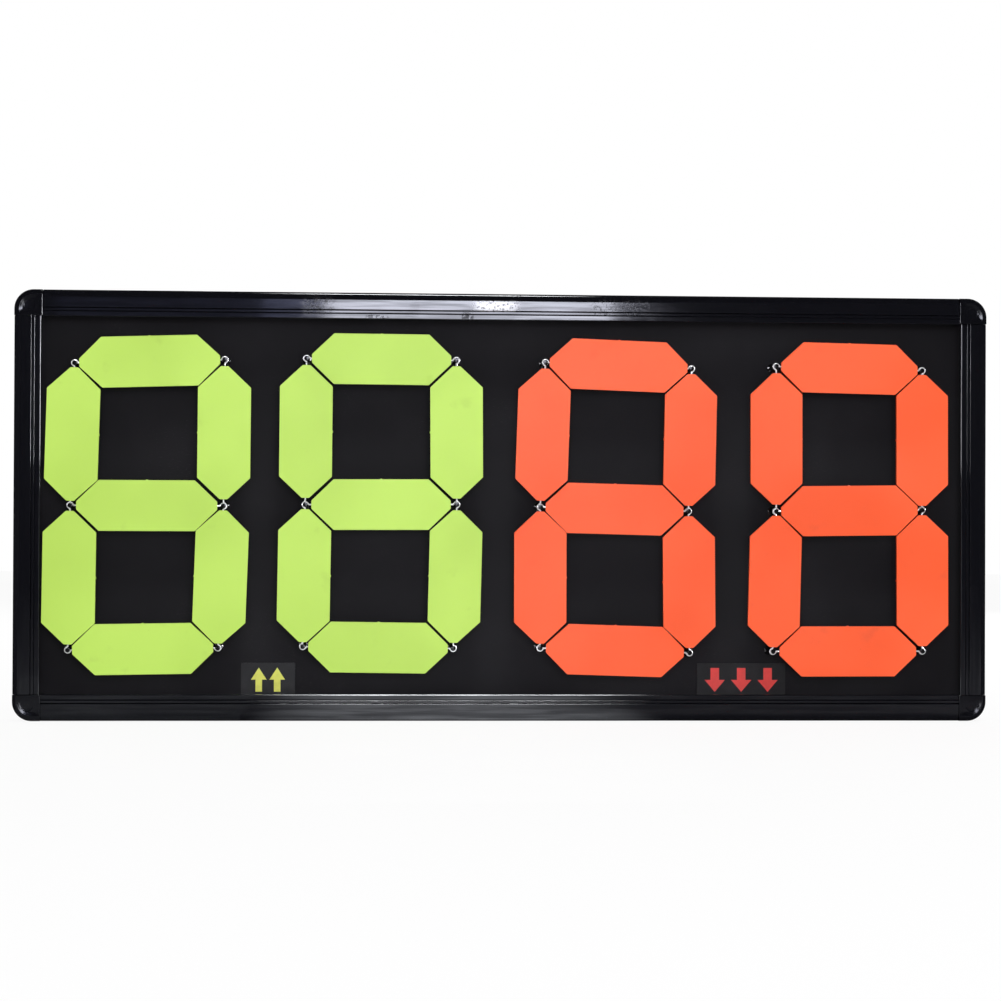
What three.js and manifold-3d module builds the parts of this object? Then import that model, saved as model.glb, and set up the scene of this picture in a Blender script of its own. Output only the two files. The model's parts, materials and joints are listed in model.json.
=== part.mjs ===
// Substitution board: a framed black tray with four seven-segment digits.
// Each segment is a flap, coloured in front and black behind, threaded on a bent steel wire
// and turned about its own length to show or hide it. Millimetres, +Z up.
// The board stands on its bottom edge and faces -Y, with its origin under its middle.

import * as THREE from "three";
import { mergeVertices } from "three/addons/utils/BufferGeometryUtils.js";
import Module from "manifold-3d";

const wasm = await Module();
wasm.setup();

// Overall sizes
const boardWidth = 778;
const boardHeight = 341;
const boardDepth = 30;

// Clearances
const seatGap = 0.3;
const cutOverrun = 1;

// Section of the frame rails, measured inwards from the outer edge and back from the front
const railWall = 1.6;
const edgeRoundWidth = 6.5;
const edgeRoundDepth = 6;
const crownWidth = 13.4;
const crownFall = 0.2;
const grooveWidth = 0.7;
const grooveDepth = 0.8;
const beadWidth = 1.8;
const beadFall = 0.4;
const lipReach = 21.3;
const lipFall = 0.7;
const lipThickness = 1.8;
const lipRound = 0.5;
const flankInset = 15.9;
const slotDepth = 6;
const rearLipReach = 19.9;
const rearLipThickness = 2;
const backChamfer = 1;

// Corner caps, which plug into the ends of the rails
const capWidth = 22.4;
const capHeight = 20.8;
const capCornerRadius = 15.5;
const capEdgeRound = 4;
const capDimpleInset = 12.3;
const capDimpleRadius = 4.5;
const capDimpleDepth = 0.5;
const dimpleSides = 16;
const spigotLength = 14;
const spigotWall = 1.8;

// Panel at the back of the tray
const panelThickness = 3;

// Flaps: the level ones are a little longer and narrower than the upright ones
const flapThickness = 4.2;
const flapEdgeBevel = 0.5;
const flapCornerRadius = 1.2;
const levelFlap = { length: 110.6, width: 40.2, tip: 6.5, endSlopeShare: 1.0445 };
const uprightFlap = { length: 105.4, width: 41.8, tip: 6, endSlopeShare: 0.9441 };

// Wires that the flaps turn on
const wireDiameter = 1.4;
const tunnelGap = 0.35;
const sweepGap = 1.1;
const wireSides = 6;
const bendStepDegrees = 36;
const eyeTurnDegrees = 190;
const tunnelSides = 8;

// Pegs that carry the wires
const pegNeckRadius = 1.2;
const pegShankRadius = 2.1;
const pegFootRadius = 3.6;
const pegFootHeight = 1.2;
const pegHeadRadius = 1.9;
const pegHeadHeight = 0.6;
const pegSides = 8;

// Layout of the digits: a grid of pegs, two across and three up, for each digit
const digitPitch = 187;
const digitRowShift = -4.8;
const pegHalfSpacingAcross = 59.8;
const pegHalfSpacingUp = 113.8;

// The pegs are set by hand, so each stands a little off its grid place
const pegScatter = 4;
const pegScatterShares = {
  green_tens: {
    topLeft: [0.95, -0.35],
    topRight: [0.55, 0.55],
    midLeft: [0.2, 0],
    midRight: [0.4, 0],
    bottomLeft: [-0.1, -0.1],
    bottomRight: [-0.55, 0.35],
  },
  green_units: {
    topLeft: [-0.15, 0.95],
    topRight: [-0.3, 0.8],
    midLeft: [-0.3, 0.35],
    midRight: [-0.1, 0.5],
    bottomLeft: [-0.65, 0.65],
    bottomRight: [-0.7, 0.3],
  },
  orange_tens: {
    topLeft: [0.65, 0.55],
    topRight: [0.1, -0.5],
    midLeft: [-0.25, 0.1],
    midRight: [-0.4, -0.6],
    bottomLeft: [-0.2, 0.4],
    bottomRight: [-0.1, -0.5],
  },
  orange_units: {
    topLeft: [0.4, 0.1],
    topRight: [0.1, -0.5],
    midLeft: [0.5, -0.55],
    midRight: [0.2, -0.15],
    bottomLeft: [-0.1, -0.2],
    bottomRight: [0.35, -0.1],
  },
};

// Clear film labels on the panel, with the distance of their middles from the board's middle
const labelThickness = 0.4;
const labelHeight = 25.5;
const labels = {
  left_label: { middle: -188.7, width: 43.2 },
  right_label: { middle: 193.4, width: 72 },
};

// Levels worked out from the sizes above, as depths along Y
const frontLevel = -boardDepth / 2;
const backLevel = boardDepth / 2;
const panelBack = backLevel - rearLipThickness - seatGap;
const panelFront = panelBack - panelThickness;
const wireRadius = wireDiameter / 2;
const widestHalfFlap = Math.max(levelFlap.width, uprightFlap.width) / 2;
const sweepRadius = Math.hypot(widestHalfFlap, flapThickness / 2);
const axisLevel = panelFront - sweepRadius - sweepGap;
const tunnelRadius = wireRadius + tunnelGap;
const eyeRadius = pegNeckRadius + seatGap + wireRadius;
const eyeReach = eyeRadius + wireRadius;
const stackStep = (wireDiameter + seatGap) / 2;
const axisDirections = {
  x: new THREE.Vector3(1, 0, 0),
  y: new THREE.Vector3(0, 1, 0),
  z: new THREE.Vector3(0, 0, 1),
};

// Colours and finishes
const finishes = {
  frame: { color: 0x0e0f16, roughness: 0.12, metalness: 0 },
  cap: { color: 0x101118, roughness: 0.18, metalness: 0 },
  panel: { color: 0x1e1e20, roughness: 0.5, metalness: 0 },
  wire: { color: 0xd8d8da, roughness: 0.2, metalness: 1 },
  green: { color: 0xc3ea63, roughness: 0.42, metalness: 0 },
  orange: { color: 0xff5f38, roughness: 0.42, metalness: 0 },
  film: { color: 0x2a2a2c, roughness: 0.15, metalness: 0 },
};

function makeMesh(name, geometry, finish) {
  const mesh = new THREE.Mesh(geometry, new THREE.MeshStandardMaterial(finishes[finish]));
  mesh.name = name;
  return mesh;
}

// A closed geometry becomes a solid that can be joined and cut, and becomes a geometry again
function solidFrom(geometry) {
  const bare = geometry.clone();
  bare.deleteAttribute("normal");
  bare.deleteAttribute("uv");
  const welded = mergeVertices(bare);
  return new wasm.Manifold(
    new wasm.Mesh({
      numProp: 3,
      vertProperties: Float32Array.from(welded.attributes.position.array),
      triVerts: Uint32Array.from(welded.index.array),
    }),
  );
}

function geometryFrom(solid) {
  const mesh = solid.getMesh();
  const positions = new THREE.BufferAttribute(Float32Array.from(mesh.vertProperties), mesh.numProp);
  const geometry = new THREE.BufferGeometry();
  geometry.setAttribute("position", positions);
  geometry.setIndex(new THREE.BufferAttribute(Uint32Array.from(mesh.triVerts), 1));
  geometry.computeVertexNormals();
  return geometry;
}

// An extrusion is drawn in its own plane, then laid along two directions of the board
function lay(geometry, across, up, origin) {
  const along = new THREE.Vector3().crossVectors(across, up);
  const matrix = new THREE.Matrix4().makeBasis(across, up, along).setPosition(origin);
  return geometry.applyMatrix4(matrix);
}

function boxBetween(low, high) {
  const size = new THREE.Vector3().subVectors(high, low);
  const middle = new THREE.Vector3().addVectors(low, high).multiplyScalar(0.5);
  return new THREE.BoxGeometry(size.x, size.y, size.z).translate(middle.x, middle.y, middle.z);
}

// Frame rails

function railSection() {
  const beadStart = crownWidth + grooveWidth;
  const beadEnd = beadStart + beadWidth;
  const bandStart = beadEnd + grooveWidth;
  const crownEdge = frontLevel + crownFall;
  const beadCrest = frontLevel + beadFall;
  const grooveFloor = crownEdge + grooveDepth;
  const lipFront = frontLevel + lipFall;
  const lipBack = lipFront + lipThickness;
  const slotFront = panelFront - seatGap;
  const slotBack = backLevel - rearLipThickness;
  const slotFloor = flankInset - slotDepth;

  const outline = new THREE.Shape();
  outline.moveTo(backChamfer, backLevel);
  outline.lineTo(0, backLevel - backChamfer);
  outline.lineTo(0, frontLevel + edgeRoundDepth);
  outline.absellipse(
    edgeRoundWidth,
    frontLevel + edgeRoundDepth,
    edgeRoundWidth,
    edgeRoundDepth,
    Math.PI,
    1.5 * Math.PI,
    false,
    0,
  );
  outline.quadraticCurveTo((edgeRoundWidth + crownWidth) / 2, frontLevel, crownWidth, crownEdge);
  outline.lineTo(crownWidth, grooveFloor);
  outline.lineTo(beadStart, grooveFloor);
  outline.quadraticCurveTo((beadStart + beadEnd) / 2, 2 * beadCrest - grooveFloor, beadEnd, grooveFloor);
  outline.lineTo(bandStart, grooveFloor);
  outline.lineTo(bandStart, lipFront);
  outline.lineTo(lipReach - lipRound, lipFront);
  outline.quadraticCurveTo(lipReach, lipFront, lipReach, lipFront + lipRound);
  outline.lineTo(lipReach, lipBack);
  outline.lineTo(flankInset, lipBack);
  outline.lineTo(flankInset, slotFront);
  outline.lineTo(slotFloor, slotFront);
  outline.lineTo(slotFloor, slotBack);
  outline.lineTo(rearLipReach, slotBack);
  outline.lineTo(rearLipReach, backLevel);
  outline.closePath();

  // The hollow keeps one wall all round and steps in beside the panel's slot
  const hollow = new THREE.Path();
  const hollowFront = frontLevel + edgeRoundDepth;
  const hollowRoof = grooveFloor + railWall;
  hollow.moveTo(railWall, backLevel - railWall);
  hollow.lineTo(slotFloor - railWall, backLevel - railWall);
  hollow.lineTo(slotFloor - railWall, slotFront - railWall);
  hollow.lineTo(flankInset - railWall, slotFront - railWall);
  hollow.lineTo(flankInset - railWall, hollowRoof);
  hollow.lineTo(edgeRoundWidth, hollowRoof);
  hollow.lineTo(railWall, hollowFront);
  hollow.closePath();
  outline.holes.push(hollow);
  return outline;
}

function makeRail(name, length, across, start) {
  const geometry = new THREE.ExtrudeGeometry(railSection(), {
    depth: length,
    bevelEnabled: false,
    curveSegments: 4,
  });
  return makeMesh(name, lay(geometry, across, axisDirections.y, start), "frame");
}

function makeRails() {
  const levelLength = boardWidth - 2 * (capWidth + seatGap);
  const uprightLength = boardHeight - 2 * (capHeight + seatGap);
  const sideStart = boardWidth / 2;
  const uprightFoot = capHeight + seatGap;
  const { x, z } = axisDirections;
  const left = x.clone().negate();
  const down = z.clone().negate();
  return [
    makeRail("bottom_rail", levelLength, z, new THREE.Vector3(levelLength / 2, 0, 0)),
    makeRail("top_rail", levelLength, down, new THREE.Vector3(-levelLength / 2, 0, boardHeight)),
    makeRail("left_rail", uprightLength, x, new THREE.Vector3(-sideStart, 0, uprightFoot)),
    makeRail("right_rail", uprightLength, left, new THREE.Vector3(sideStart, 0, boardHeight - uprightFoot)),
  ];
}

// Corner caps, drawn for the bottom left corner and mirrored to the others

function capBody() {
  const outline = new THREE.Shape();
  outline.moveTo(capCornerRadius, 0);
  outline.lineTo(capWidth + cutOverrun + capEdgeRound, 0);
  outline.lineTo(capWidth + cutOverrun + capEdgeRound, capHeight + cutOverrun + capEdgeRound);
  outline.lineTo(0, capHeight + cutOverrun + capEdgeRound);
  outline.lineTo(0, capCornerRadius);
  outline.absarc(capCornerRadius, capCornerRadius, capCornerRadius, Math.PI, 1.5 * Math.PI, false);
  const geometry = new THREE.ExtrudeGeometry(outline, {
    depth: boardDepth,
    curveSegments: 7,
    bevelThickness: capEdgeRound,
    bevelSize: capEdgeRound,
    bevelOffset: -capEdgeRound,
    bevelSegments: 3,
  });
  const start = new THREE.Vector3(0, frontLevel + boardDepth + capEdgeRound, 0);
  const rough = solidFrom(lay(geometry, axisDirections.x, axisDirections.z, start));
  const block = boxBetween(
    new THREE.Vector3(-cutOverrun, frontLevel - cutOverrun, -cutOverrun),
    new THREE.Vector3(capWidth, backLevel, capHeight),
  );
  return rough.intersect(solidFrom(block));
}

// A shallow round dish pressed into the cap's face, as far in from both outer edges
function capDimple() {
  const dish = [
    [0, -capDimpleDepth],
    [capDimpleRadius / 2, -capDimpleDepth],
    [capDimpleRadius, 0],
    [capDimpleRadius, cutOverrun],
    [0, cutOverrun],
  ].map(([radius, height]) => new THREE.Vector2(radius, height));
  return new THREE.LatheGeometry(dish, dimpleSides)
    .rotateX(Math.PI)
    .translate(capDimpleInset, frontLevel, capDimpleInset);
}

// A spigot is a U-shaped tongue that fits a rail's hollow
function capSpigot(across, origin) {
  const near = railWall + seatGap;
  const far = flankInset - railWall - seatGap;
  const front = frontLevel + edgeRoundDepth;
  const back = panelFront - 2 * seatGap - railWall;
  const outline = new THREE.Shape();
  outline.moveTo(near, front);
  outline.lineTo(far, front);
  outline.lineTo(far, back);
  outline.lineTo(far - spigotWall, back);
  outline.lineTo(far - spigotWall, front + spigotWall);
  outline.lineTo(near + spigotWall, front + spigotWall);
  outline.lineTo(near + spigotWall, back);
  outline.lineTo(near, back);
  outline.closePath();
  const geometry = new THREE.ExtrudeGeometry(outline, {
    depth: spigotLength + cutOverrun,
    bevelEnabled: false,
  });
  return lay(geometry, across, axisDirections.y, origin);
}

function makeCapSolid() {
  const panelCorner = flankInset - slotDepth;
  const notch = boxBetween(
    new THREE.Vector3(panelCorner, panelFront - seatGap, panelCorner),
    new THREE.Vector3(capWidth + cutOverrun, panelBack + seatGap, capHeight + cutOverrun),
  );
  const levelSpigot = capSpigot(axisDirections.z, new THREE.Vector3(capWidth + spigotLength, 0, 0));
  const uprightSpigot = capSpigot(axisDirections.x, new THREE.Vector3(0, 0, capHeight - cutOverrun));
  return capBody()
    .subtract(solidFrom(capDimple()))
    .add(solidFrom(levelSpigot))
    .add(solidFrom(uprightSpigot))
    .subtract(solidFrom(notch));
}

function makeCaps() {
  const cap = makeCapSolid();
  const corners = {
    bottom_left_cap: [1, 1],
    bottom_right_cap: [-1, 1],
    top_left_cap: [1, -1],
    top_right_cap: [-1, -1],
  };
  return Object.entries(corners).map(([name, [acrossSign, upSign]]) => {
    const foot = upSign > 0 ? 0 : boardHeight;
    const solid = cap.scale([acrossSign, 1, upSign]).translate([(-acrossSign * boardWidth) / 2, 0, foot]);
    return makeMesh(name, geometryFrom(solid), "cap");
  });
}

// Pegs and their places

const digitNames = Object.keys(pegScatterShares);

function pegPlaces(digit) {
  const middle = digitRowShift + (digitNames.indexOf(digit) - (digitNames.length - 1) / 2) * digitPitch;
  const signs = {
    topLeft: [-1, 1],
    topRight: [1, 1],
    midLeft: [-1, 0],
    midRight: [1, 0],
    bottomLeft: [-1, -1],
    bottomRight: [1, -1],
  };
  const places = {};
  for (const [corner, [across, up]] of Object.entries(signs)) {
    const [shareAcross, shareUp] = pegScatterShares[digit][corner];
    places[corner] = new THREE.Vector2(
      middle + across * pegHalfSpacingAcross + shareAcross * pegScatter,
      boardHeight / 2 + up * pegHalfSpacingUp + shareUp * pegScatter,
    );
  }
  return places;
}

function pegGeometry() {
  const axisHeight = panelFront - axisLevel;
  const shoulderTop = axisHeight - 2 * stackStep - wireRadius - seatGap;
  const headStart = axisHeight + stackStep + wireRadius + seatGap;
  const profile = [
    [0, -panelThickness / 2],
    [pegFootRadius, -panelThickness / 2],
    [pegFootRadius, pegFootHeight],
    [pegShankRadius, 2 * pegFootHeight],
    [pegShankRadius, shoulderTop],
    [pegNeckRadius, shoulderTop],
    [pegNeckRadius, headStart],
    [pegHeadRadius, headStart],
    [pegHeadRadius - pegHeadHeight / 2, headStart + pegHeadHeight],
    [0, headStart + pegHeadHeight],
  ].map(([radius, height]) => new THREE.Vector2(radius, height));
  return new THREE.LatheGeometry(profile, pegSides).rotateX(Math.PI);
}

function makePanel() {
  const edge = flankInset - slotDepth + seatGap;
  const plate = boxBetween(
    new THREE.Vector3(edge - boardWidth / 2, panelFront, edge),
    new THREE.Vector3(boardWidth / 2 - edge, panelBack, boardHeight - edge),
  );
  let solid = solidFrom(plate);
  const peg = solidFrom(pegGeometry());
  for (const digit of digitNames) {
    for (const place of Object.values(pegPlaces(digit))) {
      solid = solid.add(peg.translate([place.x, panelFront, place.y]));
    }
  }
  return makeMesh("panel", geometryFrom(solid), "panel");
}

// Wires. A route is a list of points, straight between the pegs and bent round them.

class BentWire extends THREE.Curve {
  constructor(stations) {
    super();
    this.stations = stations;
  }

  getPointAt(share) {
    return this.stations[Math.round(share * (this.stations.length - 1))].clone();
  }

  getTangentAt(share) {
    const here = Math.round(share * (this.stations.length - 1));
    const before = this.stations[Math.max(here - 1, 0)];
    const point = this.stations[here];
    const after = this.stations[Math.min(here + 1, this.stations.length - 1)];
    const arriving = new THREE.Vector3().subVectors(point, before).normalize();
    const leaving = new THREE.Vector3().subVectors(after, point).normalize();
    return arriving.add(leaving).normalize();
  }
}

function makeWire(name, stations) {
  const section = new THREE.Shape();
  for (let side = 0; side < wireSides; side += 1) {
    const angle = (side * 2 * Math.PI) / wireSides;
    const point = [wireRadius * Math.cos(angle), wireRadius * Math.sin(angle)];
    if (side === 0) {
      section.moveTo(...point);
    } else {
      section.lineTo(...point);
    }
  }
  section.closePath();
  const geometry = new THREE.ExtrudeGeometry(section, {
    steps: stations.length - 1,
    extrudePath: new BentWire(stations),
  });
  return makeMesh(name, geometry, "wire");
}

// Points on the ring round a peg, from one angle to another, at a set depth
function ringPoints(peg, fromAngle, toAngle, depth) {
  const bend = THREE.MathUtils.radToDeg(Math.abs(toAngle - fromAngle));
  const steps = Math.max(1, Math.round(bend / bendStepDegrees));
  const points = [];
  for (let step = 0; step <= steps; step += 1) {
    const angle = fromAngle + ((toAngle - fromAngle) * step) / steps;
    points.push(
      new THREE.Vector3(peg.x + eyeRadius * Math.cos(angle), depth, peg.y + eyeRadius * Math.sin(angle)),
    );
  }
  return points;
}

function towards(from, to) {
  return Math.atan2(to.y - from.y, to.x - from.x);
}

// Where the wire leaves the line between two pegs to go round the first of them
function neckPoint(peg, neighbour) {
  const angle = towards(peg, neighbour);
  return new THREE.Vector3(
    peg.x + eyeReach * Math.cos(angle),
    axisLevel,
    peg.y + eyeReach * Math.sin(angle),
  );
}

const tangentAngle = Math.acos(eyeRadius / eyeReach);
const eyeTurn = THREE.MathUtils.degToRad(eyeTurnDegrees);

// The loop wire runs clockwise from the top right peg round the outside of all six pegs
function loopStations(pegs) {
  const order = [
    pegs.topRight,
    pegs.midRight,
    pegs.bottomRight,
    pegs.bottomLeft,
    pegs.midLeft,
    pegs.topLeft,
  ];
  const first = order[0];
  const leave = towards(first, order[1]) + tangentAngle;
  const arrive = towards(first, order[order.length - 1]) - tangentAngle;
  const stations = ringPoints(first, leave + eyeTurn, leave, axisLevel + stackStep);
  for (let index = 1; index < order.length; index += 1) {
    const peg = order[index];
    const previous = order[index - 1];
    const next = order[(index + 1) % order.length];
    stations.push(neckPoint(previous, peg), neckPoint(peg, previous));
    let from = towards(peg, previous) - tangentAngle;
    const to = towards(peg, next) + tangentAngle;
    while (from < to) {
      from += 2 * Math.PI;
    }
    stations.push(...ringPoints(peg, from, to, axisLevel));
  }
  const last = order[order.length - 1];
  stations.push(neckPoint(last, first), neckPoint(first, last));
  stations.push(...ringPoints(first, arrive, arrive - eyeTurn, axisLevel - stackStep));
  return stations;
}

// The cross wire carries the middle flap and ends in an eye behind the loop wire at each side
function crossStations(pegs) {
  const left = pegs.midLeft;
  const right = pegs.midRight;
  const eyeLevel = axisLevel + 2 * stackStep;
  const atLeft = towards(left, right) + tangentAngle;
  const atRight = towards(right, left) - tangentAngle;
  return [
    ...ringPoints(left, atLeft + eyeTurn, atLeft, eyeLevel),
    neckPoint(left, right),
    neckPoint(right, left),
    ...ringPoints(right, atRight, atRight - eyeTurn, eyeLevel),
  ];
}

function makeWires(digit) {
  const pegs = pegPlaces(digit);
  return [
    makeWire(`${digit}_loop_wire`, loopStations(pegs)),
    makeWire(`${digit}_cross_wire`, crossStations(pegs)),
  ];
}

// Flaps. Each is drawn about its own axis, which runs along X, with its coloured face to -Y.

function flapOutline(size) {
  const halfLength = size.length / 2;
  const halfWidth = size.width / 2;
  const halfTip = size.tip / 2;
  const halfStraight = halfLength - (halfWidth - halfTip) * size.endSlopeShare;
  const quarter = [
    [halfLength, halfTip],
    [halfStraight, halfWidth],
  ];
  const corners = [
    ...quarter,
    ...quarter.map(([along, across]) => [-along, across]).reverse(),
    ...quarter.map(([along, across]) => [-along, -across]),
    ...quarter.map(([along, across]) => [along, -across]).reverse(),
  ].map(([along, across]) => new THREE.Vector2(along, across));
  const outline = new THREE.Shape();
  corners.forEach((corner, index) => {
    const before = corners[(index + corners.length - 1) % corners.length];
    const after = corners[(index + 1) % corners.length];
    const start = corner.clone().add(before.clone().sub(corner).setLength(flapCornerRadius));
    const end = corner.clone().add(after.clone().sub(corner).setLength(flapCornerRadius));
    if (index === 0) {
      outline.moveTo(start.x, start.y);
    } else {
      outline.lineTo(start.x, start.y);
    }
    outline.quadraticCurveTo(corner.x, corner.y, end.x, end.y);
  });
  outline.closePath();
  return outline;
}

function flapGeometry(size) {
  const plate = new THREE.ExtrudeGeometry(flapOutline(size), {
    depth: flapThickness - 2 * flapEdgeBevel,
    curveSegments: 2,
    bevelThickness: flapEdgeBevel,
    bevelSize: flapEdgeBevel,
    bevelOffset: -flapEdgeBevel,
    bevelSegments: 1,
  });
  const start = new THREE.Vector3(0, flapThickness / 2 - flapEdgeBevel, 0);
  const body = solidFrom(lay(plate, axisDirections.x, axisDirections.z, start));
  const tunnel = new THREE.CylinderGeometry(
    tunnelRadius,
    tunnelRadius,
    size.length + 2 * cutOverrun,
    tunnelSides,
  ).rotateZ(Math.PI / 2);
  return geometryFrom(body.subtract(solidFrom(tunnel)));
}

const flapShapes = { level: flapGeometry(levelFlap), upright: flapGeometry(uprightFlap) };

const segments = {
  top: ["topLeft", "topRight", "level"],
  upper_left: ["midLeft", "topLeft", "upright"],
  upper_right: ["midRight", "topRight", "upright"],
  middle: ["midLeft", "midRight", "level"],
  lower_left: ["bottomLeft", "midLeft", "upright"],
  lower_right: ["bottomRight", "midRight", "upright"],
  bottom: ["bottomLeft", "bottomRight", "level"],
};

function makeFlaps(digit) {
  const pegs = pegPlaces(digit);
  const colour = digit.startsWith("green") ? "green" : "orange";
  return Object.entries(segments).map(([segment, [fromName, toName, shape]]) => {
    const from = pegs[fromName];
    const to = pegs[toName];
    const flap = makeMesh(`${digit}_${segment}_flap`, flapShapes[shape].clone(), colour);
    flap.position.set((from.x + to.x) / 2, axisLevel, (from.y + to.y) / 2);
    flap.rotation.y = -towards(from, to);
    return flap;
  });
}

// Labels lie on the panel and reach down behind the bottom rail's lip

function makeLabels() {
  const foot = lipReach - railWall;
  const back = panelFront - seatGap;
  return Object.entries(labels).map(([name, { middle, width }]) => {
    const film = boxBetween(
      new THREE.Vector3(middle - width / 2, back - labelThickness, foot),
      new THREE.Vector3(middle + width / 2, back, foot + labelHeight),
    );
    return makeMesh(name, film, "film");
  });
}

const board = new THREE.Group();
const frame = new THREE.Group();
frame.add(...makeRails(), ...makeCaps(), makePanel(), ...makeLabels());
board.add(frame);
for (const digit of digitNames) {
  const group = new THREE.Group();
  group.add(...makeWires(digit), ...makeFlaps(digit));
  board.add(group);
}

export default board;
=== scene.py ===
"""Substitution board: a ridged black frame round four seven-segment digits, whose flaps turn on wires.

Lengths are in metres. The board stands on its bottom edge, faces -Y, and its origin is under its middle.
"""

import json
import math

import bmesh
import bpy
from bpy.props import FloatProperty, FloatVectorProperty, IntProperty, PointerProperty
from bpy.types import Operator, Panel, PropertyGroup
from mathutils import Matrix, Vector
from mathutils.geometry import intersect_line_line


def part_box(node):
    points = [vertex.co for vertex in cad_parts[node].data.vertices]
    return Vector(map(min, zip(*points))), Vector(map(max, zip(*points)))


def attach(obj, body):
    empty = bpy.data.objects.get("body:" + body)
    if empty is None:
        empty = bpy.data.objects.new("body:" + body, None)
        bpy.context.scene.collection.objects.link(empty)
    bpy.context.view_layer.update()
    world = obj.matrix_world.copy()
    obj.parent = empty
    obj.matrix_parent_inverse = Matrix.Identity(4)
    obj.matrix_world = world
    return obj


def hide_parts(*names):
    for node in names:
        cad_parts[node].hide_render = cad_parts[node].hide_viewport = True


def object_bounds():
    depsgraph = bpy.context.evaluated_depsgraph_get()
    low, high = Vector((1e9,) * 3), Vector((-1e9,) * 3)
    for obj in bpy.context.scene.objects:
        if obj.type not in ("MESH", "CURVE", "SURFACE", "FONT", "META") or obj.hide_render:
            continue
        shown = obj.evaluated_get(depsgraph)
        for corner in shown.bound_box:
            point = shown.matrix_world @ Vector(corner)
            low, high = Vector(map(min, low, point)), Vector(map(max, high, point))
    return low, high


bl_info = {
    "name": "Substitution board",
    "version": (1, 0, 0),
    "blender": (4, 5, 0),
    "location": "3D View > Sidebar > Board",
    "description": "Builds a substitution board with turning number flaps",
    "category": "Add Mesh",
}

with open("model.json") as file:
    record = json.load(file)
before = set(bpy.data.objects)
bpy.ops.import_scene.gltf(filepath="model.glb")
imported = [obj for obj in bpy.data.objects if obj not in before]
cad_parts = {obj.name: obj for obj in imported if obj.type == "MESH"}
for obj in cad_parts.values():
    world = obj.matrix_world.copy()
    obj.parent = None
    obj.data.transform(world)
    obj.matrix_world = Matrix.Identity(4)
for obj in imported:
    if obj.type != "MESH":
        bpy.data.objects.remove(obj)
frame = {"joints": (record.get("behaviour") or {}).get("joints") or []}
cad_low, cad_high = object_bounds()

IMAGE_SIDE = 1001
DIGITS = ("green_tens", "green_units", "orange_tens", "orange_units")
LEVEL_SEGMENTS = ("top", "middle", "bottom")
SQUARE = 0.999  # a face counts as square to a direction when this much of its normal lies along it
SPECK = 0.0003  # side of the small plane that is merged into the first point of a line
WELD = 1e-6  # points closer than this are merged where a turned piece closes
SAME_LEVEL = 0.0001  # corners closer in depth than this are on one level
EDGE_FACETS, LIP_FACETS, SMALL_FACETS = 14, 6, 4  # facets round the rails' outer edge, lip and small corners
# Profile of the dish in a cap's face, as shares of its radius and its depth
DISH_PROFILE = ((0, -1), (0.86, -1), (0.93, -0.6), (1, 0), (1.1, 1), (0, 1))
POCKET_STEPS = (0.5, 0.35, 0.15)  # how the slope into a cap's face falls, as shares of its depth
SCREW_ARM = 1.15  # length of a screw's cross slots as a share of its radius
SCREW_TURN = 20  # how far the cross is turned, in degrees
EVEN = 9  # a glow's fade reaches so far past its card that the card is evenly bright

# Cards that glow in the gloss: name, place, size, turn in degrees, strength, colour, how far the fade reaches
# from the card's middle as a share of its width, and how cloudy it is
GLOWS = (
    ("key_glow", (0.067, -2.05, 0.55), (0.464, 0.28), (90, 0, 0), 14.5, (0.84, 0.86, 1), EVEN, 0),
    ("wide_glow", (0.15, -2.35, 0.57), (0.9, 0.32), (90, 0, 0), 3.2, (0.8, 0.82, 1), 0.36, 1),
    ("shoulder_glow", (-0.215, -2.06, 0.55), (0.1, 0.26), (90, 0, 0), 2.2, (0.55, 0.6, 1), EVEN, 0.7),
    ("navy_haze", (-0.43, -2.1, 0.58), (0.34, 0.4), (90, 0, 0), 0.24, (0.45, 0.5, 1), EVEN, 0.5),
    ("low_glow", (0, -2.02, 0.19), (0.5, 0.42), (90, 0, 0), 7, (0.9, 0.93, 1), 0.25, 0),
    ("floor_glow", (-0.04, -0.306, 0.0008), (0.8, 0.587), (0, 0, 0), 2.5, (0.9, 0.93, 1), 0.215, 0.4),
    ("floor_haze", (-0.35, -0.306, 0.001), (0.28, 0.587), (0, 0, 0), 0.14, (0.88, 0.94, 1), EVEN, 0),
    ("roof_glow", (0, 0.15, 2.3), (0.7, 0.24), (0, 0, 0), 55, (0.95, 0.97, 1), 0.4, 0),
    ("front_roof_glow", (0.06, -1, 2.35), (0.7, 0.8), (0, 0, 0), 170, (0.93, 0.96, 1), 0.55, 0),
    ("right_glow", (1.6, -0.45, 0.48), (0.5, 0.44), (90, 0, -90), 110, (0.92, 0.92, 1), EVEN, 0),
    ("left_glow", (-1.6, -0.45, 0.52), (0.5, 0.54), (90, 0, 90), 36, (0.92, 0.92, 1), EVEN, 0),
    ("back_glow", (0.6, 2.6, 1), (2, 0.8), (90, 0, 0), 1.2, (0.95, 0.97, 1), EVEN, 0),
)
# Dark cards that the gloss shows wherever nothing glows: name, place, size, turn in degrees. The flags stand
# close to the frame and keep the light off its sides.
DARK_CARDS = (
    ("front_card", (0.2, -4.4, 1.2), (4.6, 2.6), (90, 0, 0)),
    ("back_card", (0.2, 5.2, 1.2), (4.6, 2.6), (90, 0, 0)),
    ("floor_card", (0.2, 0.4, 0.0004), (4.6, 9.6), (0, 0, 0)),
    ("roof_card", (0.2, 0.4, 2.5), (4.6, 9.6), (0, 0, 0)),
    ("left_card", (-2.1, 0.4, 1.2), (9.6, 2.6), (90, 0, 90)),
    ("right_card", (2.5, 0.4, 1.2), (9.6, 2.6), (90, 0, 90)),
    ("left_flag", (-0.402, -0.015, 0.18), (0.036, 0.4), (90, 0, 90)),
    ("right_flag", (0.402, -0.015, 0.18), (0.036, 0.4), (90, 0, 90)),
    ("top_flag", (0, -0.031, 0.36), (0.9, 0.038), (0, 0, 0)),
)
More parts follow.
